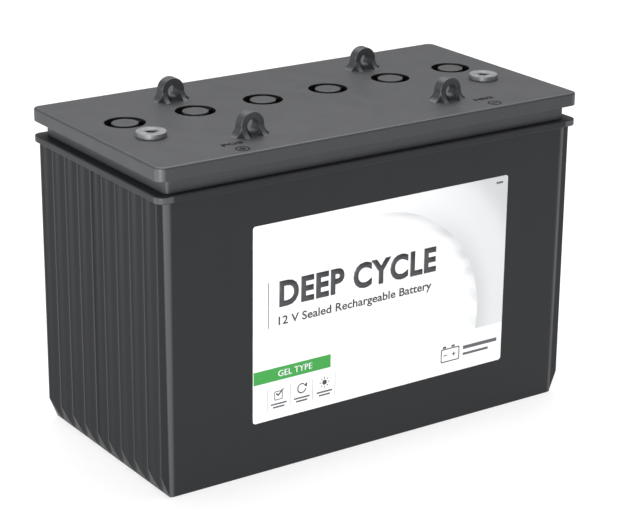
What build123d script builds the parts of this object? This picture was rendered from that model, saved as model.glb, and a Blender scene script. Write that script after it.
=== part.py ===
from build123d import *
import os
from math import atan2, degrees, radians, tan

# Deep cycle battery: a sealed six-cell monobloc. Millimetres. The origin is the centre of the base,
# +X runs along the long side, +Y to the back and +Z up. The front is the labelled long wall, at -Y.

# ---- overall size ----
LENGTH = 330.0
WIDTH = 167.0
LID_TOP = 221.5
CELLS = 6

# ---- case ----
CASE_TOP = 203.0
CASE_HALF_X = 156.9
CASE_HALF_Y_BASE = 78.1
CASE_HALF_Y_TOP = 79.2
CASE_CORNER_R = 4.2
BASE_FILLET = 0.5
COLUMN_R = 8.0
COLUMN_X = 153.6
COLUMN_FROM_Y = 75.5
FLOOR = 4.0
PARTITION = 2.6
CELL_X = 48.9
CELL_HALF_Y = 74.1
CELL_CORNER_R = 1.5
CELL_PITCH = CELL_X + PARTITION
FLANGE_BOTTOM = 198.2

# ---- fluted end walls ----
CREST_X = 162.8
CREST_WIDTH = 1.5
CREST_Y = [7.6, 24.8, 42.0, 59.2, 76.2]
FLUTE_DEPTH = 5.6
RIB_CHAMFER_Z = 14.4

# ---- lid ----
PLATE_BOTTOM = 212.4
PLATE_CORNER_R = 5.5
PLATE_TOP_FILLET = 1.5
PLATE_BOTTOM_FILLET = 0.6
NECK_HALF_X = 157.5
NECK_HALF_Y = 78.5
NECK_CORNER_R = 4.0
HEADER_TOP = 217.0
HEADER_HALF_Y = 73.3
TUBE_BOTTOM = 200.0

# ---- rope lugs ----
LUG_X = 78.5
LUG_Y = 49.3
LUG_THICK = 7.6
LUG_FOOT_HALF = 13.4
LUG_HALF = 8.6
LUG_HEIGHT = 15.4
LUG_DROP = 0.6
LUG_HOLE_R = 4.3
LUG_HOLE_Z = 6.6
LUG_EDGE_FILLET = 0.7
GUSSET_FROM = 5.0
GUSSET_TO = 8.2
GUSSET_REACH = 4.8
GUSSET_TOP = 6.4
GUSSET_WAIST = [1.9, 2.7]

# ---- valve plugs ----
VALVE_X_PITCH = 52.7
VALVE_Y = 16.5
WELL_R = 13.5
WELL_TUBE_R = 15.8
SEAT_TOP = 213.5
SEAT_BOTTOM = 210.5
STEM_R = 8.3
STEM_HOLE_R = 8.38
STEM_BOTTOM = 206.5
BAYONET_R = 10.4
BAYONET_SLOT_R = 10.6
BAYONET_WIDTH = 5.0
BAYONET_SLOT_WIDTH = 5.6
BAYONET_BOTTOM = 207.8
BAYONET_TOP = 210.2
POCKET_R = 12.4
RING_GROOVE_IN_R = 11.0
RING_GROOVE_OUT_R = 13.0
RING_GROOVE_DEPTH = 1.35
RING_R = 12.0
RING_SECTION_R = 0.9
PLUG_FLANGE_R = 13.3
PLUG_FLANGE_BOTTOM = 214.05
PLUG_FLANGE_TOP = 215.8
BOSS_R = 8.8
BOSS_TOP = 220.0
VALVE_ROOM_R = 6.9
VALVE_ROOM_FLOOR = 210.0
NOZZLE_R = 3.5
NOZZLE_TOP = 215.5
NOZZLE_BORE_R = 1.5
RUBBER_R = 5.9
RUBBER_BORE_R = 3.55
RUBBER_BOTTOM = 210.6
RUBBER_TOP = 217.6
COVER_SPIGOT_R = 6.8
COVER_SPIGOT_BOTTOM = 219.0
VENT_WIDTH = 1.2
VENT_TOP = 220.5
DRIVE_RIB_R = 13.1
DRIVE_RIB_TOP = 220.0
DRIVE_RIB_ANGLES = [28, 208]
DRIVE_RIB_SPAN = 45

# ---- terminals ----
TERMINAL_X = 133.0
TERMINAL_Y = -19.5
TERMINAL_HEAD_R = 10.0
TERMINAL_HEAD_TOP = 225.0
TERMINAL_STEM_R = 8.0
TERMINAL_HOLE_R = 8.1
TERMINAL_STEM_BOTTOM = 199.0
TERMINAL_TUBE_R = 13.0
M8_TAP_R = 3.4
M8_MOUTH_R = 4.3
M8_BORE_BOTTOM = 209.0
SOCKET_TOP = 204.0
SEAL_GROOVE_R = 6.4
SEAL_GROOVE_BOTTOM = 212.1
SEAL_GROOVE_TOP = 214.3
SEAL_RING_R = 7.25
SEAL_SECTION_R = 0.8
RESIN_TOP = 208.0
RESIN_R = 10.0
POST_R = 6.0
POST_FOOT_R = 8.0
POST_FOOT_HEIGHT = 3.0

# ---- cell stack ----
POSITIVE_COUNT = 5
POSITIVE_THICK = 3.2
NEGATIVE_THICK = 2.5
SEPARATOR_THICK = 1.5
PLATE_HALF_Y = 69.0
PLATES_FROM = 11.0
PLATES_TO = 163.0
SEPARATOR_HALF_Y = 70.0
SEPARATOR_TO = 166.0
TAB_Y = 35.0
TAB_WIDTH = 12.0
STRAP_BOTTOM = 172.0
STRAP_TOP = 179.0
STRAP_WIDTH = 16.0
STRAP_HALF_X = 23.0
FLAG_THICK = 3.0
FLAG_TOP = 197.0
FLAG_WIDTH = 18.0
WELD_R = 6.0
WELD_Z = 188.0
GEL_TOP = 170.0
GAP = 0.05

# ---- front label ----
LABEL_X = [-95.3, 109.3]
LABEL_Z = [36.0, 171.0]
LABEL_THICK = 0.25
LABEL_CORNER_R = 2.0

CELL_CENTRES = [(i - (CELLS - 1) / 2) * CELL_PITCH for i in range(CELLS)]
VALVE_CENTRES = [(i - (CELLS - 1) / 2) * VALVE_X_PITCH for i in range(CELLS)]
FRONT_SLOPE = (CASE_HALF_Y_TOP - CASE_HALF_Y_BASE) / CASE_TOP


def cylinder(x, y, radius, low, high):
    """An upright cylinder between two heights."""
    return Pos(x, y, (low + high) / 2) * Cylinder(radius, high - low)


def block(x0, x1, y0, y1, z0, z1):
    """A box between two corners."""
    centre = Pos((x0 + x1) / 2, (y0 + y1) / 2, (z0 + z1) / 2)
    return centre * Box(abs(x1 - x0), abs(y1 - y0), z1 - z0)


def rounded_slab(half_x, half_y, radius, low, high):
    """A flat slab with rounded upright corners."""
    outline = RectangleRounded(2 * half_x, 2 * half_y, radius)
    return Pos(0, 0, low) * extrude(outline, high - low)


def edges_at(shape, z):
    """The edges of a shape that lie flat at one height."""
    return shape.edges().filter_by_position(Axis.Z, z - 0.01, z + 0.01)


def save(node, *solids):
    """Writes one node's solids to its own file."""
    shape = solids[0] if len(solids) == 1 else Compound(children=list(solids))
    export_step(shape, f"parts/{node}.step")


# ---- case ----

def drafted_body():
    """The plain box of the case, whose long walls lean out a little towards the top."""
    low = RectangleRounded(2 * CASE_HALF_X, 2 * CASE_HALF_Y_BASE, CASE_CORNER_R)
    high = RectangleRounded(2 * CASE_HALF_X, 2 * CASE_HALF_Y_TOP, CASE_CORNER_R)
    body = loft([low, Pos(0, 0, CASE_TOP) * high], ruled=True)
    return fillet(edges_at(body, 0), BASE_FILLET)


def end_chamfer():
    """The wedge that bevels the foot of the ribs and corner columns of the +X end."""
    lean = RIB_CHAMFER_Z / (CREST_X - CASE_HALF_X)
    wedge = Polyline(
        (CASE_HALF_X, 0), (CREST_X + 1, RIB_CHAMFER_Z + lean), (CREST_X + 1, -1), (CASE_HALF_X, -1), close=True
    )
    return extrude(Plane.XZ * make_face(wedge), LENGTH, both=True)


def corner_column():
    """The rounded column at the +X -Y corner, which leans with the long wall."""
    low = Pos(COLUMN_X, COLUMN_R - CASE_HALF_Y_BASE, 0) * Circle(COLUMN_R)
    high = Pos(COLUMN_X, COLUMN_R - CASE_HALF_Y_TOP, CASE_TOP) * Circle(COLUMN_R)
    column = loft([low, high], ruled=True)
    column = fillet(edges_at(column, 0), BASE_FILLET)
    column &= block(0, LENGTH, -WIDTH, -COLUMN_FROM_Y, -1, CASE_TOP + 1)
    return column - end_chamfer()


def fluted_end():
    """The ribbed skin of the +X end: upright crests with a concave flute between each pair."""
    outer = CREST_Y[-1] + CREST_WIDTH / 2
    skin = block(CASE_HALF_X - 3, CREST_X, -outer, outer, 0, FLANGE_BOTTOM + 1)
    return skin - end_chamfer()


def flutes():
    """The round cutters of the flutes of the +X end."""
    crests = [-y for y in reversed(CREST_Y)] + CREST_Y
    cutters = []
    for low, high in zip(crests, crests[1:]):
        half = (high - low - CREST_WIDTH) / 2
        radius = (half**2 + FLUTE_DEPTH**2) / (2 * FLUTE_DEPTH)
        centre_x = CREST_X - FLUTE_DEPTH + radius
        cutters.append(cylinder(centre_x, (low + high) / 2, radius, -1, FLANGE_BOTTOM + 2))
    return cutters


def make_case():
    """The container: fluted ends, a flange round the top, and six cells divided by partitions."""
    end = fluted_end()
    body = drafted_body() + end + mirror(end, Plane.YZ)
    cutters = flutes()
    body -= cutters + [mirror(c, Plane.YZ) for c in cutters]
    column = corner_column()
    for front in (column, mirror(column, Plane.YZ)):
        body += [front, mirror(front, Plane.XZ)]
    flange = rounded_slab(LENGTH / 2, WIDTH / 2, PLATE_CORNER_R, FLANGE_BOTTOM, CASE_TOP)
    flange = fillet(edges_at(flange, CASE_TOP), 1.0)
    flange = fillet(edges_at(flange, FLANGE_BOTTOM), 0.8)
    body += flange
    for x in CELL_CENTRES:
        room = Pos(x, 0, FLOOR) * extrude(RectangleRounded(CELL_X, 2 * CELL_HALF_Y, CELL_CORNER_R), CASE_TOP)
        body -= room
    for i in range(CELLS - 1):
        x = (CELL_CENTRES[i] + CELL_CENTRES[i + 1]) / 2
        hole = Cylinder(WELD_R + GAP, PARTITION + 1)
        body -= Pos(x, weld_side(i) * TAB_Y, WELD_Z) * Rot(0, 90, 0) * hole
    return body


# ---- lid ----

def lug_outline():
    """The bell profile of a lug, upright in the XZ plane with its foot at height 0."""
    shoulder = LUG_HEIGHT - LUG_HALF
    flare_run = LUG_FOOT_HALF - LUG_HALF
    flare_r = (flare_run**2 + shoulder**2) / (2 * flare_run)
    left = RadiusArc((-LUG_FOOT_HALF, 0), (-LUG_HALF, shoulder), -flare_r)
    crown = ThreePointArc((-LUG_HALF, shoulder), (0, LUG_HEIGHT), (LUG_HALF, shoulder))
    right = RadiusArc((LUG_HALF, shoulder), (LUG_FOOT_HALF, 0), -flare_r)
    sole = Polyline(
        (LUG_FOOT_HALF, 0), (LUG_FOOT_HALF, -LUG_DROP), (-LUG_FOOT_HALF, -LUG_DROP), (-LUG_FOOT_HALF, 0)
    )
    return make_face(left + crown + right + sole)


def make_gusset():
    """One gusset of a lug: a small rib with a hollow slope from the lug's face down to the lid."""
    face = LUG_THICK / 2
    out, up = GUSSET_WAIST
    slope = ThreePointArc((face + GUSSET_REACH, 0), (face + out, up), (face, GUSSET_TOP))
    back = Polyline(
        (face, GUSSET_TOP), (face - 1, GUSSET_TOP), (face - 1, -LUG_DROP),
        (face + GUSSET_REACH, -LUG_DROP), (face + GUSSET_REACH, 0),
    )
    return Pos(GUSSET_FROM, 0, 0) * extrude(Plane.YZ * make_face(slope + back), GUSSET_TO - GUSSET_FROM)


def make_lug():
    """One rope lug, centred on the origin: a bell-shaped ear with an eye and two gussets on each face."""
    ear = extrude(Plane.XZ * lug_outline(), LUG_THICK / 2, both=True)
    rims = [e for e in ear.edges() if abs(abs(e.center().Y) - LUG_THICK / 2) < 0.01 and e.center().Z > 0.5]
    ear = fillet(rims, LUG_EDGE_FILLET)
    gusset = make_gusset()
    for side in (gusset, mirror(gusset, Plane.XZ)):
        ear += [side, mirror(side, Plane.YZ)]
    eye = Pos(0, 0, LUG_HOLE_Z) * Rot(90, 0, 0) * Cylinder(LUG_HOLE_R, LUG_THICK + 2)
    return ear - eye


def valve_seat(x):
    """What the lid's well for one plug adds and takes away: (tube, list of cuts)."""
    tube = cylinder(x, VALVE_Y, WELL_TUBE_R, TUBE_BOTTOM, HEADER_TOP + 1)
    well = cylinder(x, VALVE_Y, WELL_R, SEAT_TOP, LID_TOP + 1)
    pocket = cylinder(x, VALVE_Y, POCKET_R, TUBE_BOTTOM - 1, SEAT_BOTTOM)
    hole = cylinder(x, VALVE_Y, STEM_HOLE_R, SEAT_BOTTOM - 1, SEAT_TOP + 1)
    slot = cylinder(x, VALVE_Y, BAYONET_SLOT_R, SEAT_BOTTOM - 1, SEAT_TOP + 1) & block(
        x - WELL_R, x + WELL_R, VALVE_Y - BAYONET_SLOT_WIDTH / 2, VALVE_Y + BAYONET_SLOT_WIDTH / 2, 200, 220
    )
    groove = cylinder(x, VALVE_Y, RING_GROOVE_OUT_R, SEAT_TOP - RING_GROOVE_DEPTH, SEAT_TOP + 1)
    groove -= cylinder(x, VALVE_Y, RING_GROOVE_IN_R, SEAT_TOP - RING_GROOVE_DEPTH - 1, SEAT_TOP + 2)
    return tube, [well, pocket, hole, slot, groove]


def terminal_seat(x):
    """What the lid's bushing for one terminal adds and takes away: (tube, list of cuts)."""
    tube = cylinder(x, TERMINAL_Y, TERMINAL_TUBE_R, TUBE_BOTTOM, HEADER_TOP + 1)
    bore = cylinder(x, TERMINAL_Y, TERMINAL_HOLE_R, TUBE_BOTTOM - 1, LID_TOP + 1)
    resin_room = cylinder(x, TERMINAL_Y, RESIN_R, TUBE_BOTTOM - 1, RESIN_TOP)
    return tube, [bore, resin_room]


def make_lid():
    """The lid: a thick plate on a set-back neck, six plug wells, two terminal bushings and four lugs."""
    plate = rounded_slab(LENGTH / 2, WIDTH / 2, PLATE_CORNER_R, PLATE_BOTTOM, LID_TOP)
    plate = fillet(edges_at(plate, LID_TOP), PLATE_TOP_FILLET)
    plate = fillet(edges_at(plate, PLATE_BOTTOM), PLATE_BOTTOM_FILLET)
    lid = plate + rounded_slab(NECK_HALF_X, NECK_HALF_Y, NECK_CORNER_R, CASE_TOP, PLATE_BOTTOM + 1)
    for x in CELL_CENTRES:
        outline = RectangleRounded(CELL_X, 2 * HEADER_HALF_Y, CELL_CORNER_R)
        lid -= Pos(x, 0, CASE_TOP - 1) * extrude(outline, HEADER_TOP - CASE_TOP + 1)
    seats = [valve_seat(x) for x in VALVE_CENTRES]
    seats += [terminal_seat(x) for x in (-TERMINAL_X, TERMINAL_X)]
    for tube, cuts in seats:
        lid += tube
        lid -= cuts
    lug = make_lug()
    for x in (-LUG_X, LUG_X):
        for y in (-LUG_Y, LUG_Y):
            lid += Pos(x, y, LID_TOP) * lug
    return lid


# ---- valve plugs ----

def drive_rib(x, y, angle):
    """One of a plug's two ribs that a key turns it by, a sector of a ring round the boss."""
    ring = Cylinder(DRIVE_RIB_R, DRIVE_RIB_TOP - PLUG_FLANGE_TOP + 0.2)
    ring -= Cylinder(BOSS_R - 0.2, LID_TOP)
    half = DRIVE_RIB_R * tan(radians(DRIVE_RIB_SPAN / 2)) * 2
    sector = make_face(Polyline((0, 0), (2 * DRIVE_RIB_R, half), (2 * DRIVE_RIB_R, -half), close=True))
    rib = ring & extrude(sector, LID_TOP, both=True)
    return Pos(x, y, (PLUG_FLANGE_TOP - 0.2 + DRIVE_RIB_TOP) / 2) * Rot(0, 0, angle) * rib


def make_plug(x):
    """One plug body: a sealing flange, a hollow boss with the vent nozzle, and a bayonet stem."""
    y = VALVE_Y
    plug = cylinder(x, y, PLUG_FLANGE_R, PLUG_FLANGE_BOTTOM, PLUG_FLANGE_TOP)
    plug += cylinder(x, y, BOSS_R, PLUG_FLANGE_BOTTOM, BOSS_TOP)
    plug += cylinder(x, y, STEM_R, STEM_BOTTOM, PLUG_FLANGE_TOP)
    half = BAYONET_WIDTH / 2
    ears = block(x - half, x + half, y - BAYONET_R, y + BAYONET_R, BAYONET_BOTTOM, BAYONET_TOP)
    plug += ears & cylinder(x, y, BAYONET_R, BAYONET_BOTTOM, BAYONET_TOP)
    plug -= cylinder(x, y, VALVE_ROOM_R, VALVE_ROOM_FLOOR, BOSS_TOP + 1)
    plug += cylinder(x, y, NOZZLE_R, VALVE_ROOM_FLOOR - 1, NOZZLE_TOP)
    plug -= cylinder(x, y, NOZZLE_BORE_R, STEM_BOTTOM - 1, NOZZLE_TOP + 1)
    for angle in DRIVE_RIB_ANGLES:
        plug += drive_rib(x, y, angle)
    return plug


def make_cover(x):
    """The round cover that closes a plug, with four vent notches under its rim."""
    y = VALVE_Y
    cover = cylinder(x, y, BOSS_R, BOSS_TOP, LID_TOP)
    cover = fillet(edges_at(cover, LID_TOP), 0.4)
    cover += cylinder(x, y, COVER_SPIGOT_R, COVER_SPIGOT_BOTTOM, BOSS_TOP + 0.2)
    half = VENT_WIDTH / 2
    for angle in (45, 135, 225, 315):
        notch = block(COVER_SPIGOT_R - 1.3, BOSS_R + 1, -half, half, COVER_SPIGOT_BOTTOM - 1, VENT_TOP)
        cover -= Pos(x, y, 0) * Rot(0, 0, angle) * notch
    return cover


def make_relief_valve(x):
    """The rubber cap that sits over a plug's nozzle and lifts to let gas out."""
    cap = cylinder(x, VALVE_Y, RUBBER_R, RUBBER_BOTTOM, RUBBER_TOP)
    cap = fillet(edges_at(cap, RUBBER_TOP), 0.8)
    return cap - cylinder(x, VALVE_Y, RUBBER_BORE_R, RUBBER_BOTTOM - 1, NOZZLE_TOP)


def make_sealing_ring(x):
    """The O-ring that lies in the seat under a plug's flange."""
    z = SEAT_TOP - RING_GROOVE_DEPTH + RING_SECTION_R
    return Pos(x, VALVE_Y, z) * Torus(RING_R, RING_SECTION_R)


# ---- terminals ----

def make_terminal(x):
    """A terminal: a round head on the lid, a stem with a seal groove, and a threaded insert's bore."""
    y = TERMINAL_Y
    head = cylinder(x, y, TERMINAL_HEAD_R, LID_TOP, TERMINAL_HEAD_TOP)
    head = chamfer(edges_at(head, TERMINAL_HEAD_TOP), 0.5)
    terminal = head + cylinder(x, y, TERMINAL_STEM_R, TERMINAL_STEM_BOTTOM, LID_TOP + 1)
    groove = cylinder(x, y, TERMINAL_STEM_R + 1, SEAL_GROOVE_BOTTOM, SEAL_GROOVE_TOP)
    groove -= cylinder(x, y, SEAL_GROOVE_R, SEAL_GROOVE_BOTTOM - 1, SEAL_GROOVE_TOP + 1)
    mouth = M8_MOUTH_R - M8_TAP_R
    flare = Pos(x, y, TERMINAL_HEAD_TOP - mouth / 2) * Cone(M8_TAP_R, M8_MOUTH_R, mouth)
    bore = cylinder(x, y, M8_TAP_R, M8_BORE_BOTTOM, TERMINAL_HEAD_TOP + 1)
    socket = cylinder(x, y, POST_R + GAP, TERMINAL_STEM_BOTTOM - 1, SOCKET_TOP)
    return terminal - [groove, flare, bore, socket]


def make_post(x):
    """The lead post that stands on a strap and enters the terminal's socket."""
    post = cylinder(x, TERMINAL_Y, POST_R, STRAP_TOP, SOCKET_TOP)
    return post + cylinder(x, TERMINAL_Y, POST_FOOT_R, STRAP_TOP, STRAP_TOP + POST_FOOT_HEIGHT)


def make_terminal_seal(x):
    """The O-ring in the terminal's groove."""
    z = (SEAL_GROOVE_BOTTOM + SEAL_GROOVE_TOP) / 2
    return Pos(x, TERMINAL_Y, z) * Torus(SEAL_RING_R, SEAL_SECTION_R)


def make_resin(x):
    """The ring of potting resin round the stem, inside the lid's bushing."""
    ring = cylinder(x, TERMINAL_Y, RESIN_R - GAP, TUBE_BOTTOM + 0.5, RESIN_TOP - GAP)
    return ring - cylinder(x, TERMINAL_Y, TERMINAL_STEM_R + GAP, TUBE_BOTTOM, RESIN_TOP + 1)


# ---- inside one cell ----

def positive_side(cell):
    """-1 where the cell's positive tabs are at the front, +1 where they are at the back."""
    return -1 if cell % 2 == 0 else 1


def weld_side(cell):
    """The side at which this cell's negative group is welded to the next cell's positive group."""
    return -positive_side(cell)


def plate_places(x):
    """Left faces of the stacked parts of one cell: (positive plates, negative plates, separators)."""
    negatives = POSITIVE_COUNT + 1
    separators = 2 * POSITIVE_COUNT
    total = POSITIVE_COUNT * POSITIVE_THICK + negatives * NEGATIVE_THICK + separators * SEPARATOR_THICK
    place = x - total / 2
    found = ([], [], [])
    for i in range(POSITIVE_COUNT + negatives):
        if i % 2 == 0:
            found[1].append(place)
            place += NEGATIVE_THICK
        else:
            found[0].append(place)
            place += POSITIVE_THICK
        if i < separators:
            found[2].append(place)
            place += SEPARATOR_THICK
    return found


def make_plates(places, thick, side):
    """Pasted plates at the given places, each with a tab that rises to the strap."""
    plates = []
    for x in places:
        plate = block(x, x + thick, -PLATE_HALF_Y, PLATE_HALF_Y, PLATES_FROM, PLATES_TO)
        y = side * TAB_Y
        tab = block(x, x + thick, y - TAB_WIDTH / 2, y + TAB_WIDTH / 2, PLATES_TO - 1, STRAP_BOTTOM)
        plates.append(plate + tab)
    return plates


def make_separators(places):
    """Sheets between the plates."""
    half = SEPARATOR_HALF_Y
    thick = SEPARATOR_THICK
    return [block(x, x + thick, -half, half, PLATES_FROM, SEPARATOR_TO) for x in places]


def make_strap(x, side, flag=0, post_x=None):
    """A strap over one set of tabs. flag is the side, -1 or +1, of the upright welded to the next cell."""
    y = side * TAB_Y
    half = STRAP_WIDTH / 2
    strap = block(x - STRAP_HALF_X, x + STRAP_HALF_X, y - half, y + half, STRAP_BOTTOM, STRAP_TOP)
    if flag:
        face = x + flag * (CELL_X / 2 - GAP)
        back = face - flag * FLAG_THICK
        strap += block(face, back, y - FLAG_WIDTH / 2, y + FLAG_WIDTH / 2, STRAP_BOTTOM, FLAG_TOP)
    if post_x is not None:
        reach = POST_FOOT_R
        strap += block(post_x - reach, post_x + reach, y, TERMINAL_Y + reach, STRAP_BOTTOM, STRAP_TOP)
    return strap


def make_weld(cell):
    """The lead slug through the partition between a cell and the next one."""
    x = (CELL_CENTRES[cell] + CELL_CENTRES[cell + 1]) / 2
    slug = Rot(0, 90, 0) * Cylinder(WELD_R, PARTITION + 2 * GAP)
    return Pos(x, weld_side(cell) * TAB_Y, WELD_Z) * slug


def make_gel(x):
    """The gelled electrolyte round the stack of one cell: a bath with the stack's room taken out."""
    half_x = CELL_X / 2 - 0.1
    half_y = CELL_HALF_Y - 0.1
    room_x = CELL_X / 2 - 1.35
    room_y = SEPARATOR_HALF_Y + 0.1
    bath = block(x - half_x, x + half_x, -half_y, half_y, FLOOR, GEL_TOP)
    bath = fillet(bath.edges().filter_by(Axis.Z), CELL_CORNER_R)
    return bath - block(x - room_x, x + room_x, -room_y, room_y, PLATES_FROM, GEL_TOP + 1)


# ---- label ----

def make_label():
    """The rectangular label on the front wall, which leans as the wall does."""
    lean = degrees(atan2(FRONT_SLOPE, 1))
    outline = RectangleRounded(LABEL_X[1] - LABEL_X[0], LABEL_Z[1] - LABEL_Z[0], LABEL_CORNER_R)
    sheet = Rot(90 + lean, 0, 0) * extrude(outline, LABEL_THICK)
    z = (LABEL_Z[0] + LABEL_Z[1]) / 2
    return Pos((LABEL_X[0] + LABEL_X[1]) / 2, -CASE_HALF_Y_BASE - z * FRONT_SLOPE, z) * sheet


def main():
    os.makedirs("parts", exist_ok=True)
    save("case", make_case())
    save("lid", make_lid())
    save("front_label", make_label())
    for i, x in enumerate(VALVE_CENTRES, 1):
        save(f"valve_plug_{i}", make_plug(x))
        save(f"valve_cover_{i}", make_cover(x))
        save(f"relief_valve_{i}", make_relief_valve(x))
    save("valve_sealing_rings", *[make_sealing_ring(x) for x in VALVE_CENTRES])

    sides = (("positive", -TERMINAL_X), ("negative", TERMINAL_X))
    for name, x in sides:
        save(f"{name}_terminal", make_terminal(x))
        save(f"{name}_post", make_post(x))
    save("terminal_seals", *[make_terminal_seal(x) for name, x in sides])
    save("terminal_resin", *[make_resin(x) for name, x in sides])

    positive_straps = []
    negative_straps = []
    last = CELLS - 1
    for i, x in enumerate(CELL_CENTRES):
        side = positive_side(i)
        positives, negatives, separators = plate_places(x)
        save(f"positive_plates_{i + 1}", *make_plates(positives, POSITIVE_THICK, side))
        save(f"negative_plates_{i + 1}", *make_plates(negatives, NEGATIVE_THICK, -side))
        save(f"separators_{i + 1}", *make_separators(separators))
        save(f"gel_electrolyte_{i + 1}", make_gel(x))
        first_post = -TERMINAL_X if i == 0 else None
        last_post = TERMINAL_X if i == last else None
        positive_straps.append(make_strap(x, side, flag=-1 if i > 0 else 0, post_x=first_post))
        negative_straps.append(make_strap(x, -side, flag=1 if i < last else 0, post_x=last_post))
    save("positive_straps", *positive_straps)
    save("negative_straps", *negative_straps)
    save("intercell_welds", *[make_weld(i) for i in range(CELLS - 1)])


main()
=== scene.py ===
from math import cos, radians, sin, tau

import bmesh
import bpy
from mathutils import Matrix, Vector


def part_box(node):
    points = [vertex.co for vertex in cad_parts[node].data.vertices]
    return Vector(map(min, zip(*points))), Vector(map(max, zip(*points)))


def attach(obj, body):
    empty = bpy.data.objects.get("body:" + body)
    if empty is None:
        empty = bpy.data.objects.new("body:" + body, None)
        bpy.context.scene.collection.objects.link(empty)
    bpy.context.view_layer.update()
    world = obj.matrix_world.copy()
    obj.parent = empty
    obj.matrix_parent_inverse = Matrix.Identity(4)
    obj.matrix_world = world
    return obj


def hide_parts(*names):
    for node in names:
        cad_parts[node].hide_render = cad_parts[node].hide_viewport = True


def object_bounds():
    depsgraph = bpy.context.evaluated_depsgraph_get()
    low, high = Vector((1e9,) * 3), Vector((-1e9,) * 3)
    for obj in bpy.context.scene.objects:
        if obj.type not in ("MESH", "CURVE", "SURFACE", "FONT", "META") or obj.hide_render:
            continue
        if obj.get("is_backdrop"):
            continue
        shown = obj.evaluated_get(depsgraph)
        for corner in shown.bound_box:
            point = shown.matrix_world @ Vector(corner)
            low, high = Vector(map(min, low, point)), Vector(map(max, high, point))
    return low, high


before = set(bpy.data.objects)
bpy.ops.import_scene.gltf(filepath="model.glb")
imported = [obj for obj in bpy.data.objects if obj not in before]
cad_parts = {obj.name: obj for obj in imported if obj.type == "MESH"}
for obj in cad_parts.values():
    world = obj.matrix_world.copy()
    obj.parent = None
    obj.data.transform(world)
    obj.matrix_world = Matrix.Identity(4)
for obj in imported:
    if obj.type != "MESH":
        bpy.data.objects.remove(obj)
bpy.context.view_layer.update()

# Metres throughout, in the frame of the CAD model: +X along the long side, +Y to the back, +Z up.
MM = 0.001
ROOT = "battery"
CELLS = range(1, 7)

# ---- where the CAD parts are ----
LABEL_LOW, LABEL_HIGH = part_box("front_label")
LID_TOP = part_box("valve_cover_1")[1].z
PLUG_CENTRES = [(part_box(f"valve_plug_{i}")[0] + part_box(f"valve_plug_{i}")[1]) / 2 for i in CELLS]
PLUG_PITCH = PLUG_CENTRES[1].x - PLUG_CENTRES[0].x
TERMINALS = {
    "positive_terminal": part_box("positive_terminal"),
    "negative_terminal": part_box("negative_terminal"),
}


# ======================================================================================
# Materials
# ======================================================================================

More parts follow.
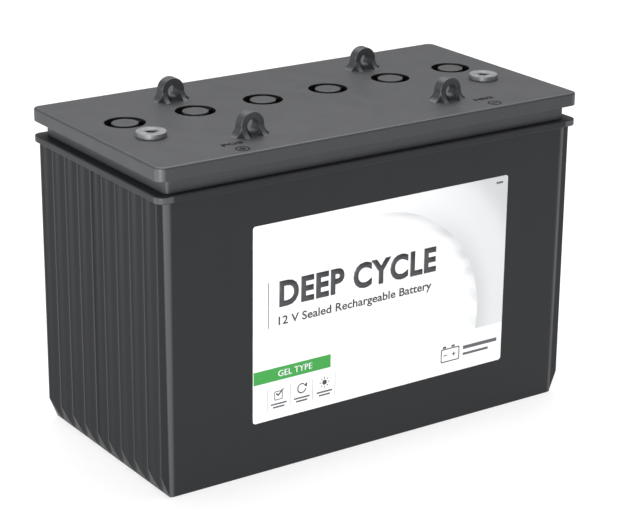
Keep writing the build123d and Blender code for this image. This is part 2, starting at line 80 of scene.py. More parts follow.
class Shader:
    """A small helper that builds one node material around a Principled shader."""

    def __init__(self, name):
        self.material = bpy.data.materials.new(name)
        self.material.use_nodes = True
        self.tree = self.material.node_tree
        self.tree.nodes.clear()
        self.out = self.node("ShaderNodeOutputMaterial")
        self.bsdf = self.node("ShaderNodeBsdfPrincipled")
        self.link(self.bsdf.outputs["BSDF"], self.out.inputs["Surface"])
        self.place = self.node("ShaderNodeTexCoord").outputs["Object"]

    def node(self, kind, **settings):
        made = self.tree.nodes.new(kind)
        for key, value in settings.items():
            setattr(made, key, value)
        return made

    def link(self, source, target):
        self.tree.links.new(source, target)

    def fill(self, socket, value):
        """Links value into socket if it is a socket, and sets it if it is a number or colour."""
        if isinstance(value, bpy.types.NodeSocket):
            self.link(value, socket)
        else:
            socket.default_value = value

    def math(self, operation, a, b=0.0, clamp=False):
        made = self.node("ShaderNodeMath", operation=operation, use_clamp=clamp)
        self.fill(made.inputs[0], a)
        self.fill(made.inputs[1], b)
        return made.outputs[0]

    def vector(self, operation, a, b=(0, 0, 0)):
        made = self.node("ShaderNodeVectorMath", operation=operation)
        self.fill(made.inputs[0], a)
        self.fill(made.inputs[1], b)
        return made

    def split(self, vector):
        made = self.node("ShaderNodeSeparateXYZ")
        self.link(vector, made.inputs[0])
        return made.outputs

    def ramp(self, value, low, high, to_low=0.0, to_high=1.0):
        """Maps value from low..high to to_low..to_high, smoothly and clamped."""
        made = self.node("ShaderNodeMapRange", interpolation_type="SMOOTHSTEP")
        self.fill(made.inputs["Value"], value)
        for key, number in (("From Min", low), ("From Max", high), ("To Min", to_low), ("To Max", to_high)):
            made.inputs[key].default_value = number
        return made.outputs["Result"]

    def noise(self, scale, detail=2.0, roughness=0.5, place=None, stretch=None):
        """A noise value from 0 to 1; scale is in features per metre."""
        place = self.place if place is None else place
        if stretch:
            place = self.vector("MULTIPLY", place, stretch).outputs[0]
        made = self.node("ShaderNodeTexNoise")
        made.inputs["Scale"].default_value = scale
        made.inputs["Detail"].default_value = detail
        made.inputs["Roughness"].default_value = roughness
        self.link(place, made.inputs["Vector"])
        return made.outputs["Fac"]

    def mix(self, factor, a, b):
        """A colour between a and b."""
        made = self.node("ShaderNodeMix", data_type="RGBA")
        self.fill(made.inputs[0], factor)
        self.fill(made.inputs[6], a)
        self.fill(made.inputs[7], b)
        return made.outputs[2]

    def bump(self, height, distance, strength=1.0, normal=None):
        made = self.node("ShaderNodeBump")
        made.inputs["Strength"].default_value = strength
        made.inputs["Distance"].default_value = distance
        self.link(height, made.inputs["Height"])
        if normal is not None:
            self.link(normal, made.inputs["Normal"])
        return made.outputs["Normal"]

    def rounded(self, radius):
        """The surface normal with its sharp edges rounded to a small radius."""
        made = self.node("ShaderNodeBevel", samples=6)
        made.inputs["Radius"].default_value = radius
        return made.outputs["Normal"]

    def edge_mask(self, radius):
        """1 along sharp edges and 0 on flats, from how far rounding turns the normal."""
        geometry = self.node("ShaderNodeNewGeometry")
        turned = self.vector("DOT_PRODUCT", self.rounded(radius), geometry.outputs["Normal"])
        return self.ramp(turned.outputs["Value"], 0.995, 0.86)

    def colour(self, value):
        self.fill(self.bsdf.inputs["Base Color"], value)

    def rough(self, value):
        self.fill(self.bsdf.inputs["Roughness"], value)

    def normal(self, value):
        self.fill(self.bsdf.inputs["Normal"], value)

    def set(self, **values):
        for key, value in values.items():
            self.bsdf.inputs[key.replace("_", " ")].default_value = value


def grey(value, tint=0.0):
    """A grey as a colour, with a blue tint if asked."""
    return (value * (1 - tint), value, value * (1 + 2 * tint), 1.0)


# the radii between which a plug well's painted shade starts, and how pale and how strong the painted
# highlight on the upright corners is
WELL_INSIDE = 13.55 * MM
WELL_OUTSIDE = 13.8 * MM
CORNER_HIGHLIGHT_TONE = 0.085
CORNER_HIGHLIGHT_STRENGTH = 0.8
PLASTIC_TINT = 0.05


def plug_distance(s):
    """How far a point is, seen from above, from the middle of the nearest plug."""
    x, y, _ = s.split(s.place)
    dx = s.math("PINGPONG", s.math("SUBTRACT", x, PLUG_CENTRES[0].x), PLUG_PITCH / 2)
    dy = s.math("SUBTRACT", y, PLUG_CENTRES[0].y)
    return s.math("SQRT", s.math("ADD", s.math("MULTIPLY", dx, dx), s.math("MULTIPLY", dy, dy)))


def painted_corner_highlight(s, reach_x, reach_y):
    """Where the upright corners get a painted highlight: 1 on the upright corners that stand further out than
    reach_x and reach_y, and 0 elsewhere.
    """
    x, y, _ = s.split(s.place)
    out_x = s.ramp(s.math("ABSOLUTE", x), reach_x, reach_x + 2.5 * MM)
    out_y = s.ramp(s.math("ABSOLUTE", y), reach_y, reach_y + 0.4 * MM)
    geometry = s.node("ShaderNodeNewGeometry")
    level = s.math("ABSOLUTE", s.split(geometry.outputs["Normal"])[2])
    return s.math("MULTIPLY", s.math("MULTIPLY", out_x, out_y), s.ramp(level, 0.6, 0.2))


def moulded_plastic(name, tone, roughness, corner, grain=0.00003, edge=0.25, shine=0.3, painted_well_shade=False):
    """Charcoal polypropylene: fine moulded grain, faint cloudiness, and sharp edges painted paler as a
    painted highlight.

    corner is where the painted highlight on the upright corners starts, or None for none; the last argument
    paints shade into the ring round each plug in the lid.
    """
    s = Shader(name)
    cloud = s.noise(22, detail=3)
    speckle = s.noise(1400, detail=2)
    base = s.mix(cloud, grey(tone * 0.97, PLASTIC_TINT), grey(tone * 1.03, PLASTIC_TINT))
    base = s.mix(s.ramp(speckle, 0.35, 0.75, 0.0, 0.22), base, grey(tone * 1.35, PLASTIC_TINT))
    # paler colour along sharp edges: a painted highlight
    edge_highlight = s.math("MULTIPLY", s.edge_mask(0.0006), edge)
    base = s.mix(edge_highlight, base, grey(tone * 2.2, PLASTIC_TINT))
    if corner:
        # a painted highlight down the upright corners: they are painted paler than the walls
        base = s.mix(s.math("MULTIPLY", painted_corner_highlight(s, *corner), CORNER_HIGHLIGHT_STRENGTH), base, grey(CORNER_HIGHLIGHT_TONE, 0.02))
    if painted_well_shade:
        # painted shade in the ring round each plug, where the well is deep and narrow
        inside = s.ramp(plug_distance(s), WELL_OUTSIDE, WELL_INSIDE)
        base = s.mix(inside, base, grey(tone * 0.15, PLASTIC_TINT))
    s.colour(base)
    streaks = s.noise(60, detail=4, stretch=(1.0, 1.0, 0.12))
    s.rough(s.ramp(streaks, 0.2, 0.8, roughness - 0.05, roughness + 0.05))
    fine = s.bump(s.noise(2600, detail=3, roughness=0.6), grain, 0.55, s.rounded(0.0005))
    s.normal(s.bump(s.noise(35, detail=2), 0.0002, 0.08, fine))
    s.set(Specular_IOR_Level=shine)
    return s.material


def rubber(name, tone):
    """Soft black rubber with a dusty surface."""
    s = Shader(name)
    dust = s.noise(900, detail=4)
    s.colour(s.mix(s.ramp(dust, 0.45, 0.8, 0, 0.5), grey(tone), grey(tone * 2.2)))
    s.rough(s.ramp(dust, 0.3, 0.7, 0.75, 0.9))
    s.normal(s.bump(s.noise(3200, detail=3), 0.00004, 0.6))
    return s.material


def cast_metal(name, tone, roughness, pit=0.0002):
    """Dull cast lead: oxide clouds and fine pits."""
    s = Shader(name)
    cloud = s.noise(120, detail=5)
    s.colour(s.mix(cloud, grey(tone * 0.7, 0.02), grey(tone * 1.2, 0.02)))
    s.rough(s.ramp(cloud, 0.3, 0.7, roughness - 0.1, roughness + 0.1))
    s.normal(s.bump(s.noise(900, detail=4), pit, 0.5, s.rounded(0.0006)))
    s.set(Metallic=0.9)
    return s.material


def turned_metal(name, centre):
    """Bright plated terminal: fine turning rings round its axis and faint tarnish."""
    s = Shader(name)
    radial = s.vector("SUBTRACT", s.place, (centre.x, centre.y, 0.0)).outputs[0]
    flat = s.vector("MULTIPLY", radial, (1.0, 1.0, 0.0)).outputs[0]
    radius = s.vector("LENGTH", flat).outputs["Value"]
    rings = s.math("SINE", s.math("MULTIPLY", radius, tau / (0.28 * MM)))
    tarnish = s.noise(160, detail=4)
    s.colour(s.mix(s.ramp(tarnish, 0.35, 0.75), grey(0.20, 0.01), grey(0.27, 0.01)))
    s.rough(s.ramp(tarnish, 0.3, 0.7, 0.52, 0.62))
    s.normal(s.bump(rings, 0.000006, 0.6, s.rounded(0.0004)))
    s.set(Metallic=0.85)
    return s.material


def pasted_plate(name, tone, tint):
    """Porous active material with the pattern of its grid showing through."""
    s = Shader(name)
    pores = s.noise(1500, detail=4, roughness=0.7)
    low = (tone[0] * 0.6, tone[1] * 0.6, tone[2] * 0.6, 1)
    s.colour(s.mix(s.ramp(pores, 0.3, 0.7), low, (*tone, 1)))
    _, y, z = s.split(s.place)
    across = s.math("SINE", s.math("MULTIPLY", y, tau / (9 * MM)))
    down = s.math("SINE", s.math("MULTIPLY", z, tau / (6 * MM)))
    grid = s.math("MAXIMUM", across, down)
    s.rough(0.9)
    s.normal(s.bump(s.ramp(grid, 0.7, 1.0), 0.0003, tint, s.bump(pores, 0.0002, 0.5)))
    return s.material


def pressed_sheet(name, tone):
    """Pale fibrous separator with pressed upright ribs."""
    s = Shader(name)
    fibre = s.noise(900, detail=5, stretch=(1, 1, 0.25))
    s.colour(s.mix(fibre, (tone * 0.86, tone * 0.84, tone * 0.78, 1), (tone, tone * 0.99, tone * 0.95, 1)))
    y = s.split(s.place)[1]
    ribs = s.ramp(s.math("SINE", s.math("MULTIPLY", y, tau / (7 * MM))), 0.6, 1.0)
    s.rough(0.85)
    s.normal(s.bump(ribs, 0.0004, 0.5, s.bump(fibre, 0.0001, 0.5)))
    return s.material


def set_gel(name):
    """Cloudy set gel with shrinkage cracks."""
    s = Shader(name)
    cloud = s.noise(60, detail=5)
    cracks = s.node("ShaderNodeTexVoronoi", feature="DISTANCE_TO_EDGE")
    cracks.inputs["Scale"].default_value = 45
    s.link(s.place, cracks.inputs["Vector"])
    line = s.ramp(cracks.outputs["Distance"], 0.0, 0.04)
    tone = s.mix(cloud, (0.62, 0.65, 0.68, 1), (0.8, 0.82, 0.84, 1))
    s.colour(s.mix(line, (0.42, 0.45, 0.48, 1), tone))
    s.rough(s.ramp(cloud, 0.3, 0.7, 0.18, 0.3))
    s.normal(s.bump(line, 0.0003, 0.5))
    s.set(Subsurface_Weight=0.2, Subsurface_Radius=(0.004, 0.004, 0.004))
    return s.material


def potting_resin(name):
    """Glossy dark resin with a slight meniscus ripple."""
    s = Shader(name)
    cloud = s.noise(300, detail=3)
    s.colour(s.mix(cloud, grey(0.02), grey(0.045)))
    s.rough(s.ramp(cloud, 0.3, 0.7, 0.1, 0.2))
    s.normal(s.bump(cloud, 0.0002, 0.2))
    return s.material


def printed_ink(name, rgb, roughness=0.45, shine=0.5):
    """Screen-printed ink: a nearly even colour with a slight mottle in tone and gloss."""
    s = Shader(name)
    mottle = s.noise(1800, detail=3)
    low = tuple(c * 0.88 for c in rgb) + (1,)
    s.colour(s.mix(mottle, low, (*rgb, 1)))
    s.rough(s.ramp(mottle, 0.3, 0.7, roughness - 0.06, roughness + 0.06))
    s.normal(s.bump(mottle, 0.00001, 0.3))
    s.set(Specular_IOR_Level=shine)
    return s.material


ART_DISC_U, ART_DISC_V, ART_DISC_RADIUS = 98 * MM, 42 * MM, 84 * MM
ART_FAN_U, ART_FAN_V = -60 * MM, 150 * MM
ART_FAN_BANDS = 95.0
ART_SWEEP = 60 * MM
STRIP_TOP = 28 * MM
BAND_SHADE, CRESCENT_SHADE, FIELD_SHADE = 0.13, 0.36, 0.50
FILM_WHITE = (0.87, 0.875, 0.88, 1)
FILM_GREY = (0.20, 0.21, 0.23, 1)


def label_film(name):
    """White coated film with pale printed art.

    The art is a big disc with soft bands and a darker rim, beside a grey field.
    """
    s = Shader(name)
    x, _, z = s.split(s.place)
    u = s.math("SUBTRACT", x, LABEL_LOW.x)
    v = s.math("SUBTRACT", z, LABEL_LOW.z)
    # the big disc whose rim sweeps down the right-hand side
    du = s.math("SUBTRACT", u, ART_DISC_U)
    dv = s.math("SUBTRACT", v, ART_DISC_V)
    far = s.math("SQRT", s.math("ADD", s.math("MULTIPLY", du, du), s.math("MULTIPLY", dv, dv)))
    rim = s.math("SUBTRACT", far, ART_DISC_RADIUS)
    inside = s.ramp(rim, 0.4 * MM, -0.4 * MM)
    # bands inside the disc, at a slant that fans about a point far to the left
    slope = s.math("DIVIDE", s.math("SUBTRACT", v, ART_FAN_V), s.math("SUBTRACT", u, ART_FAN_U))
    wobble = s.math("MULTIPLY", s.noise(35, detail=2), 0.06)
    bands = s.math("SINE", s.math("MULTIPLY", s.math("ADD", slope, wobble), ART_FAN_BANDS))
    band = s.ramp(bands, -0.6, 0.9, 0.0, 1.0)
    reach = s.ramp(u, 70 * MM, 160 * MM)
    shade_in = s.math("MULTIPLY", s.math("MULTIPLY", band, reach), BAND_SHADE)
    # the darker crescent just inside the rim, and the grey field to the right of it
    crescent = s.math("MULTIPLY", s.ramp(rim, -9 * MM, -0.5 * MM), s.ramp(v, 30 * MM, 95 * MM, 0.25, 1.0))
    shade_in = s.math("ADD", shade_in, s.math("MULTIPLY", crescent, CRESCENT_SHADE))
    field = s.math("MULTIPLY", s.ramp(u, 110 * MM, 190 * MM, 0.4, 1.0), FIELD_SHADE)
    sweep = s.ramp(s.math("SINE", s.math("MULTIPLY", far, tau / ART_SWEEP)), -1.0, 1.0, 0.6, 1.0)
    shade_out = s.math("MULTIPLY", field, sweep)
    shade = s.math("ADD", s.math("MULTIPLY", inside, shade_in),
                   s.math("MULTIPLY", s.math("SUBTRACT", 1.0, inside), shade_out))
    # the art stops above the white strip along the bottom, and fades out to the left
    above_strip = s.ramp(v, STRIP_TOP - 0.5 * MM, STRIP_TOP + 0.5 * MM)
    art = s.math("MULTIPLY", above_strip, s.ramp(u, 60 * MM, 130 * MM))
    shade = s.math("MULTIPLY", shade, art)
    s.colour(s.mix(shade, FILM_WHITE, FILM_GREY))
    fibre = s.noise(1500, detail=2)
    s.rough(s.ramp(fibre, 0.3, 0.7, 0.32, 0.38))
    s.normal(s.bump(fibre, 0.00001, 0.25))
    s.set(Coat_Weight=0.1, Coat_Roughness=0.3, Specular_IOR_Level=0.3)
    return s.material


def paint(node, material):
    """Gives a CAD node one material."""
    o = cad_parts[node]
    o.data.materials.clear()
    o.data.materials.append(material)


# ======================================================================================
# Print and marks: flat shapes with a real thickness
# ======================================================================================

INK_THICK = 0.04 * MM


def label_plane():
    """The label's outer face as a matrix: x runs right, y up the leaning wall and z out of it."""
    points = [v.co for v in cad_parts["front_label"].data.vertices]
    bottom = min(p.y for p in points if p.z < LABEL_LOW.z + 0.5 * MM)
    top = min(p.y for p in points if p.z > LABEL_HIGH.z - 0.5 * MM)
    up = Vector((0, top - bottom, LABEL_HIGH.z - LABEL_LOW.z)).normalized()
    right = Vector((1, 0, 0))
    out = right.cross(up)
    made = Matrix((right, up, out)).transposed().to_4x4()
    made.translation = Vector((LABEL_LOW.x, bottom, LABEL_LOW.z))
    return made


def lid_plane():
    """The lid's top face: x runs right, y to the back and z up, from the middle of the lid."""
    return Matrix.Translation((0, 0, LID_TOP))


def add_mesh(name, mesh, matrix, material):
    """Places a finished mesh in the row frame and lets it ride on the battery."""
    mesh.transform(matrix)
    mesh.materials.clear()
    mesh.materials.append(material)
    made = bpy.data.objects.new(name, mesh)
    bpy.context.scene.collection.objects.link(made)
    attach(made, ROOT)
    return made


def mesh_of(curve, name):
    """The closed mesh of a filled curve or text, which is then removed."""
    holder = bpy.data.objects.new(name, curve)
    bpy.context.scene.collection.objects.link(holder)
    bpy.context.view_layer.update()
    mesh = bpy.data.meshes.new_from_object(holder.evaluated_get(bpy.context.evaluated_depsgraph_get()))
    bpy.data.objects.remove(holder)
    b = bmesh.new()
    b.from_mesh(mesh)
    bmesh.ops.remove_doubles(b, verts=b.verts, dist=0.002 * MM)
    b.to_mesh(mesh)
    b.free()
    mesh.name = name
    return mesh


def flat_shape(name, loops, thick=INK_THICK):
    """A flat shape from closed outlines in millimetres; an outline inside another is a hole."""
    curve = bpy.data.curves.new(name, "CURVE")
    curve.dimensions = "2D"
    curve.fill_mode = "BOTH"
    curve.extrude = thick / 2
    for loop in loops:
        spline = curve.splines.new("POLY")
        spline.points.add(len(loop) - 1)
        for point, (u, v) in zip(spline.points, loop):
            point.co = (u * MM, v * MM, 0, 1)
        spline.use_cyclic_u = True
    return mesh_of(curve, name)


def lettering(name, words, low, high, bold=0.0, spacing=1.0, thick=INK_THICK):
    """Words that fill the rectangle from low to high, in millimetres."""
    curve = bpy.data.curves.new(name, "FONT")
    curve.body = words
    curve.size = 1.0
    curve.offset = bold
    curve.space_character = spacing
    curve.resolution_u = 4
    mesh = mesh_of(curve, name)
    xs = [v.co.x for v in mesh.vertices]
    ys = [v.co.y for v in mesh.vertices]
    wide = (high[0] - low[0]) * MM / (max(xs) - min(xs))
    tall = (high[1] - low[1]) * MM / (max(ys) - min(ys))
    fit = Matrix.Diagonal((wide, tall, 1.0, 1.0)) @ Matrix.Translation((-min(xs), -min(ys), 0))
    mesh.transform(Matrix.Translation((low[0] * MM, low[1] * MM, 0)) @ fit)
    return solid_of(mesh, thick)


def solid_of(mesh, thick):
    """Gives a flat filled mesh a thickness, centred on its plane."""
    b = bmesh.new()
    b.from_mesh(mesh)
    bmesh.ops.remove_doubles(b, verts=b.verts, dist=0.01 * MM)
    grown = bmesh.ops.extrude_face_region(b, geom=list(b.faces))
    tops = [g for g in grown["geom"] if isinstance(g, bmesh.types.BMVert)]
    bmesh.ops.translate(b, verts=tops, vec=(0, 0, thick))
    bmesh.ops.translate(b, verts=b.verts, vec=(0, 0, -thick / 2))
    bmesh.ops.recalc_face_normals(b, faces=b.faces)
    b.to_mesh(mesh)
    b.free()
    return mesh


def rectangle(u0, v0, u1, v1):
    return [(u0, v0), (u1, v0), (u1, v1), (u0, v1)]


def disc(u, v, radius, count=48):
    return [(u + radius * cos(tau * i / count), v + radius * sin(tau * i / count)) for i in range(count)]


def bar(start, end, width):
    """A straight stroke between two points."""
    run = Vector(end) - Vector(start)
    side = Vector((-run.y, run.x)).normalized() * width / 2
    a, b = Vector(start), Vector(end)
    return [tuple(a + side), tuple(a - side), tuple(b - side), tuple(b + side)]


def cross(u, v, reach, half):
    """A plus sign whose arms reach out from a point."""
    corner = ((reach, -half), (reach, half), (half, half))
    turned = list(corner)
    for _ in range(3):
        turned += [(-y, x) for x, y in turned[-3:]]
    return [(u + x, v + y) for x, y in turned]


def arc_band(u, v, radius, width, first, last, count=24):
    """A stroke along a circle, from one angle to another in degrees."""
    angles = [radians(first + (last - first) * i / count) for i in range(count + 1)]
    far, near = radius + width / 2, radius - width / 2
    outer = [(u + far * cos(a), v + far * sin(a)) for a in angles]
    inner = [(u + near * cos(a), v + near * sin(a)) for a in reversed(angles)]
    return outer + inner


def rounded_box(u0, v0, u1, v1, radius, count=6):
    """A rectangle with round corners."""
    corners = ((u1 - radius, v1 - radius, 0), (u0 + radius, v1 - radius, 90),
               (u0 + radius, v0 + radius, 180), (u1 - radius, v0 + radius, 270))
    points = []
    for cu, cv, start in corners:
        for i in range(count + 1):
            a = radians(start + 90 * i / count)
            points.append((cu + radius * cos(a), cv + radius * sin(a)))
    return points


SHARP_ANGLE = radians(28)


def lathe(name, profile, centre, count=64):
    """A closed turned piece, from a profile whose first and last entries lie on the axis.

    Each entry is a radius, a height and, for a thread, its depth; all in millimetres.
    """
    b = bmesh.new()
    rings = []
    for radius, height, *thread in profile:
        if radius == 0:
            rings.append([b.verts.new((0, 0, height * MM))])
            continue
        ring = []
        for i in range(count):
            turn = i / count
            reach = radius
            if thread:
                phase = (height / THREAD_PITCH - turn) % 1.0
                reach += thread[0] * (1 - abs(2 * phase - 1))
            angle = tau * turn
            ring.append(b.verts.new((reach * MM * cos(angle), reach * MM * sin(angle), height * MM)))
        rings.append(ring)
    for low, high in zip(rings, rings[1:]):
        for i in range(count):
            j = (i + 1) % count
            if len(low) == 1:
                b.faces.new((low[0], high[j], high[i]))
            elif len(high) == 1:
                b.faces.new((low[i], low[j], high[0]))
            else:
                b.faces.new((low[i], low[j], high[j], high[i]))
    bmesh.ops.recalc_face_normals(b, faces=b.faces)
    for face in b.faces:
        face.smooth = True
    mesh = bpy.data.meshes.new(name)
    b.to_mesh(mesh)
    b.free()
    mesh.set_sharp_from_angle(angle=SHARP_ANGLE)
    mesh.transform(Matrix.Translation((centre.x, centre.y, 0)))
    return mesh


# ======================================================================================
# Materials of the CAD parts
# ======================================================================================

# where the painted highlight on the upright corners of the case and of the lid starts, in x and in y
CASE_CORNER = (0.1535, 0.0770)
LID_CORNER = (0.1590, 0.0785)

CASE = moulded_plastic("case_plastic", 0.017, 0.42, CASE_CORNER, shine=0.22)
LID = moulded_plastic("lid_plastic", 0.026, 0.46, LID_CORNER, shine=0.6, painted_well_shade=True)
COVER = moulded_plastic("cover_plastic", 0.026, 0.46, None, shine=0.6)
PLUG = moulded_plastic("plug_plastic", 0.004, 0.5, None, shine=0.2)

paint("case", CASE)
paint("lid", LID)
paint("front_label", label_film("label_film"))
for i in CELLS:
    paint(f"valve_plug_{i}", PLUG)
    paint(f"valve_cover_{i}", COVER)

CAP_RUBBER = rubber("valve_rubber", 0.015)
SEAL_RUBBER = rubber("seal_rubber", 0.010)
LEAD = cast_metal("cast_lead", 0.30, 0.55)
POSITIVE = pasted_plate("positive_paste", (0.10, 0.045, 0.025), 0.6)
NEGATIVE = pasted_plate("negative_paste", (0.22, 0.23, 0.24), 0.6)
SHEET = pressed_sheet("separator_sheet", 0.72)
GEL = set_gel("gel")
for i in CELLS:
    paint(f"relief_valve_{i}", CAP_RUBBER)
    paint(f"positive_plates_{i}", POSITIVE)
    paint(f"negative_plates_{i}", NEGATIVE)
    paint(f"separators_{i}", SHEET)
    paint(f"gel_electrolyte_{i}", GEL)
for node in ("valve_sealing_rings", "terminal_seals"):
    paint(node, SEAL_RUBBER)
for node in ("positive_straps", "negative_straps", "intercell_welds", "positive_post", "negative_post"):
    paint(node, LEAD)
paint("terminal_resin", potting_resin("resin"))


# ======================================================================================
# Terminals with a real thread
# ======================================================================================

THREAD_PITCH = 1.25
THREAD_DEPTH = 0.6
THREAD_STEPS = 6


def terminal_profile(low, high):
    """Half section of a terminal from the axis under its post socket to the bottom of its tapped hole."""
    socket_top = low + 5.0
    tap_bottom = low + 10.0
    head_under = high - 3.5
    socket = [(0, socket_top), (6.0, socket_top), (6.05, low + 0.3), (6.3, low), (7.7, low), (8.0, low + 0.3)]
    seal_groove = [(8.0, low + 13.1), (6.4, low + 13.1), (6.4, low + 15.3), (8.0, low + 15.3)]
    head = [(8.0, head_under), (9.7, head_under), (10.0, head_under + 0.3), (10.0, high - 0.5),
            (9.85, high - 0.2), (9.5, high)]
    face = [(7.4, high), (7.3, high - 0.06), (7.1, high - 0.06), (7.0, high), (4.5, high),
            (4.3, high - 0.1), (4.0, high - 0.45)]
    threads = []
    height = high - 0.6
    while height > tap_bottom + 1.0:
        threads.append((3.4, height, THREAD_DEPTH))
        height -= THREAD_PITCH / THREAD_STEPS
    bottom = [(3.4, tap_bottom + 0.8), (3.3, tap_bottom), (0, tap_bottom - 1.0)]
    return socket + seal_groove + head + face + threads + bottom


for node, (low, high) in TERMINALS.items():
    centre = (low + high) / 2
    profile = terminal_profile(low.z / MM, high.z / MM)
    bright = turned_metal(f"{node}_metal", centre)
    mesh = lathe(f"{node}_turned", profile, centre)
    turned = add_mesh(f"{node}_turned", mesh, Matrix.Identity(4), bright)
    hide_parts(node)


# ======================================================================================
# Print on the label
# ======================================================================================

INK = printed_ink("ink_dark", (0.045, 0.047, 0.052))
INK_SOFT = printed_ink("ink_grey", (0.10, 0.10, 0.11))
GREEN = printed_ink("ink_green", (0.035, 0.33, 0.05))
WHITE = printed_ink("ink_white", (0.85, 0.86, 0.86))
SHEET_PLANE = label_plane()
ABOVE = Matrix.Translation((0, 0, INK_THICK * 0.4))
ABOVE_BAND = Matrix.Translation((0, 0, INK_THICK * 1.3))


def print_on_label(name, mesh, ink, level=ABOVE):
    return add_mesh(name, mesh, SHEET_PLANE @ level, ink)


def print_shape(name, loops, ink, level=ABOVE):
    return print_on_label(name, flat_shape(name, loops), ink, level)


def print_words(name, words, low, high, ink, level=ABOVE, **style):
    return print_on_label(name, lettering(name, words, low, high, **style), ink, level)


print_shape("label_rule", [rectangle(11.3, 64.0, 11.9, 95.6)], INK_SOFT)
print_words("label_heading", "DEEP CYCLE", (19.8, 77.0), (145.3, 95.2), INK, bold=0.04, spacing=1.08)
print_words("label_subheading", "12 V Sealed Rechargeable Battery", (19.3, 63.2), (142.0, 70.9), INK,
            bold=0.02)
print_shape("label_band", [rectangle(0.4, 26.8, 60.4, 36.0)], GREEN)
print_words("label_band_words", "GEL TYPE", (19.3, 29.2), (46.0, 33.6), WHITE, ABOVE_BAND, bold=0.01)

# three small symbols between short rules, each over two caption bars: a tick, a return arrow and a sun
ICON_U = (19.8, 37.8, 55.8)
ICON_V = 17.0
DIVIDER_U = (10.9, 28.7, 46.4, 64.2)
for i, u in enumerate(DIVIDER_U):
    print_shape(f"label_divider_{i + 1}", [rectangle(u - 0.15, 6.8, u + 0.15, 21.9)], INK_SOFT)
for i, u in enumerate(ICON_U):
    bars = [rectangle(u - 6.2, 9.8, u + 6.2, 11.0), rectangle(u - 4.4, 7.6, u + 4.4, 8.8)]
    print_shape(f"label_caption_{i + 1}", bars, INK_SOFT)


def print_tick(u):
    box_frame = [rounded_box(u - 3.4, 13.0, u + 3.0, 19.4, 0.8),
                 rounded_box(u - 2.8, 13.6, u + 2.4, 18.8, 0.5)]
    tick = [(u - 2.4, 17.4), (u - 1.6, 18.2), (u - 0.4, 17.0),
            (u + 3.2, 20.6), (u + 3.9, 19.9), (u - 0.4, 15.6)]
    print_shape("label_icon_1_box", box_frame, INK)
    print_shape("label_icon_1_tick", [tick], INK, ABOVE_BAND)


def print_return_arrow(u):
    head = [(u + 1.3, 19.0), (u + 4.3, 20.3), (u + 3.9, 17.2)]
    print_shape("label_icon_2_loop", [arc_band(u, ICON_V, 3.2, 0.9, 60, 350)], INK)
    print_shape("label_icon_2_head", [head], INK, ABOVE_BAND)


def print_sun(u):
    print_shape("label_icon_3_disc", [disc(u, ICON_V, 1.8, 32)], INK)
    for k in range(8):
        a = tau * k / 8
        near, far = [(u + reach * cos(a), ICON_V + reach * sin(a)) for reach in (2.5, 4.0)]
        print_shape(f"label_icon_3_ray_{k + 1}", [bar(near, far, 0.6)], INK)


print_tick(ICON_U[0])
print_return_arrow(ICON_U[1])
print_sun(ICON_U[2])

# a plain battery pictogram with two caption bars at the bottom right, and a bar in the top right corner
pictogram = [rounded_box(152.0, 8.4, 168.0, 18.4, 1.0), rounded_box(152.8, 9.2, 167.2, 17.6, 0.6)]
print_shape("label_pictogram", pictogram, INK)
for i, u in enumerate((155.0, 162.4)):
    print_shape(f"label_pictogram_post_{i + 1}", [rectangle(u - 1.4, 18.7, u + 1.4, 20.2)], INK)
print_shape("label_pictogram_minus", [rectangle(154.4, 13.0, 157.4, 13.8)], INK)
print_shape("label_pictogram_plus", [cross(163.1, 13.4, 1.5, 0.4)], INK)
print_shape("label_corner_bar", [rectangle(194.7, 129.9, 200.4, 131.3)], INK_SOFT)
caption = [rectangle(171.0, 14.8, 200.4, 17.4), rectangle(171.0, 10.4, 193.0, 12.2)]
print_shape("label_side_caption", caption, INK_SOFT)


# ======================================================================================
# Polarity marks on the lid
# ======================================================================================

MARK_THICK = 0.12 * MM
MARK_U = 99.5
MARK_V = -74.0
MARK = printed_ink("mark_ink", (0.004, 0.004, 0.004), 0.7, shine=0.1)
ON_LID = lid_plane() @ Matrix.Translation((0, 0, MARK_THICK * 0.35))


def mark_on_lid(name, mesh):
    return add_mesh(name, mesh, ON_LID, MARK)


for u, name, words in ((-MARK_U, "positive", "POS"), (MARK_U, "negative", "NEG")):
    low, high = (u - 7.6, -64.0), (u + 7.6, -59.6)
    mesh = lettering(f"{name}_mark_words", words, low, high, bold=0.03, thick=MARK_THICK)
    mark_on_lid(f"{name}_mark_words", mesh)
    ring = [disc(u, MARK_V, 4.7), disc(u, MARK_V, 3.7)]
    mark_on_lid(f"{name}_mark_ring", flat_shape(f"{name}_mark_ring", ring, MARK_THICK))
    plus = cross(u, MARK_V, 2.5, 0.6)
    minus = rectangle(u - 2.5, MARK_V - 0.6, u + 2.5, MARK_V + 0.6)
    sign = plus if name == "positive" else minus
    mark_on_lid(f"{name}_mark_sign", flat_shape(f"{name}_mark_sign", [sign], MARK_THICK))


# ======================================================================================
# Floor, light and camera
# ======================================================================================

FLOOR_HALF = 8.0
FLOOR_DROP = 0.0002
FLOOR_GLOW = 0.72
WORLD_LEVEL = 0.35


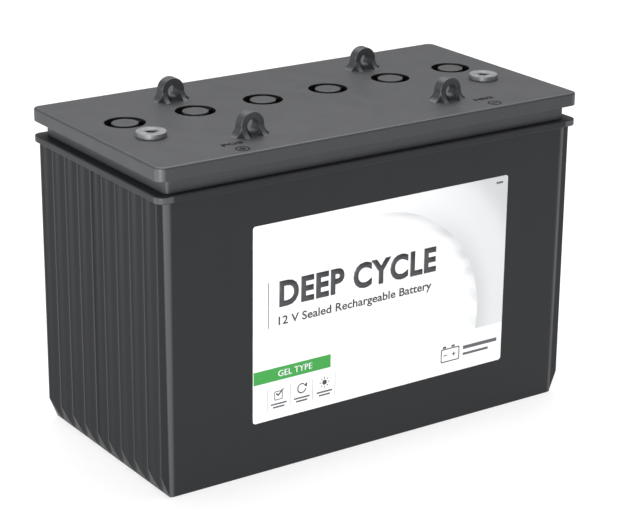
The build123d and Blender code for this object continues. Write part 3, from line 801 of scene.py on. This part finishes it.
def make_floor():
    """A wide pale floor that glows a little, so that it stays even to its edge."""
    mesh = bpy.data.meshes.new("floor")
    b = bmesh.new()
    bmesh.ops.create_grid(b, x_segments=1, y_segments=1, size=FLOOR_HALF)
    b.to_mesh(mesh)
    b.free()
    floor = bpy.data.objects.new("floor", mesh)
    bpy.context.scene.collection.objects.link(floor)
    floor.location.z = -FLOOR_DROP
    s = Shader("floor_paper")
    tone = s.noise(3, detail=2)
    s.colour(s.mix(tone, (0.30, 0.30, 0.30, 1), (0.32, 0.32, 0.32, 1)))
    s.rough(0.9)
    s.set(Specular_IOR_Level=0.1, Emission_Color=(1, 1, 1, 1), Emission_Strength=FLOOR_GLOW)
    mesh.materials.append(s.material)
    floor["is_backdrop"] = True


def add_light(name, place, target, size, power):
    """A rectangular soft box at place that faces target; its power is in watts."""
    lamp = bpy.data.lights.new(name, "AREA")
    lamp.shape = "RECTANGLE"
    lamp.size, lamp.size_y = size
    lamp.energy = power
    made = bpy.data.objects.new(name, lamp)
    made.location = place
    made.rotation_euler = (Vector(target) - Vector(place)).to_track_quat("-Z", "Y").to_euler()
    bpy.context.scene.collection.objects.link(made)


def make_world(level):
    world = bpy.data.worlds.new("studio")
    world.use_nodes = True
    world.node_tree.nodes["Background"].inputs["Color"].default_value = (1, 1, 1, 1)
    world.node_tree.nodes["Background"].inputs["Strength"].default_value = level
    bpy.context.scene.world = world


AIM = Vector((-0.0190, -0.0421, 0.1262))
DISTANCE = 1.3835
AZIMUTH = 34.45
ELEVATION = 19.555
ROLL = 0.53
LENS = 117.07


def make_camera():
    turn, rise = radians(AZIMUTH), radians(ELEVATION)
    forward = Vector((sin(turn) * cos(rise), cos(turn) * cos(rise), -sin(rise)))
    lens = bpy.data.cameras.new("camera")
    lens.sensor_width = 36
    lens.lens = LENS
    lens.clip_start = 0.05
    made = bpy.data.objects.new("camera", lens)
    made.matrix_world = (Matrix.Translation(AIM - forward * DISTANCE)
                         @ forward.to_track_quat("-Z", "Y").to_matrix().to_4x4()
                         @ Matrix.Rotation(radians(ROLL), 4, "Z"))
    bpy.context.scene.collection.objects.link(made)
    bpy.context.scene.camera = made


make_floor()
make_world(WORLD_LEVEL)
add_light("overhead", (0.25, 0.45, 1.9), (0, 0, 0.15), (2.2, 2.2), 60)
add_light("left_side", (-1.7, 0.75, 0.45), (0, 0, 0.12), (1.0, 0.8), 8)
add_light("front_left", (-1.75, -1.55, 0.30), (0, 0, 0.12), (0.5, 0.5), 46)
make_camera()
bpy.context.scene.view_settings.view_transform = "Standard"

low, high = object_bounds()
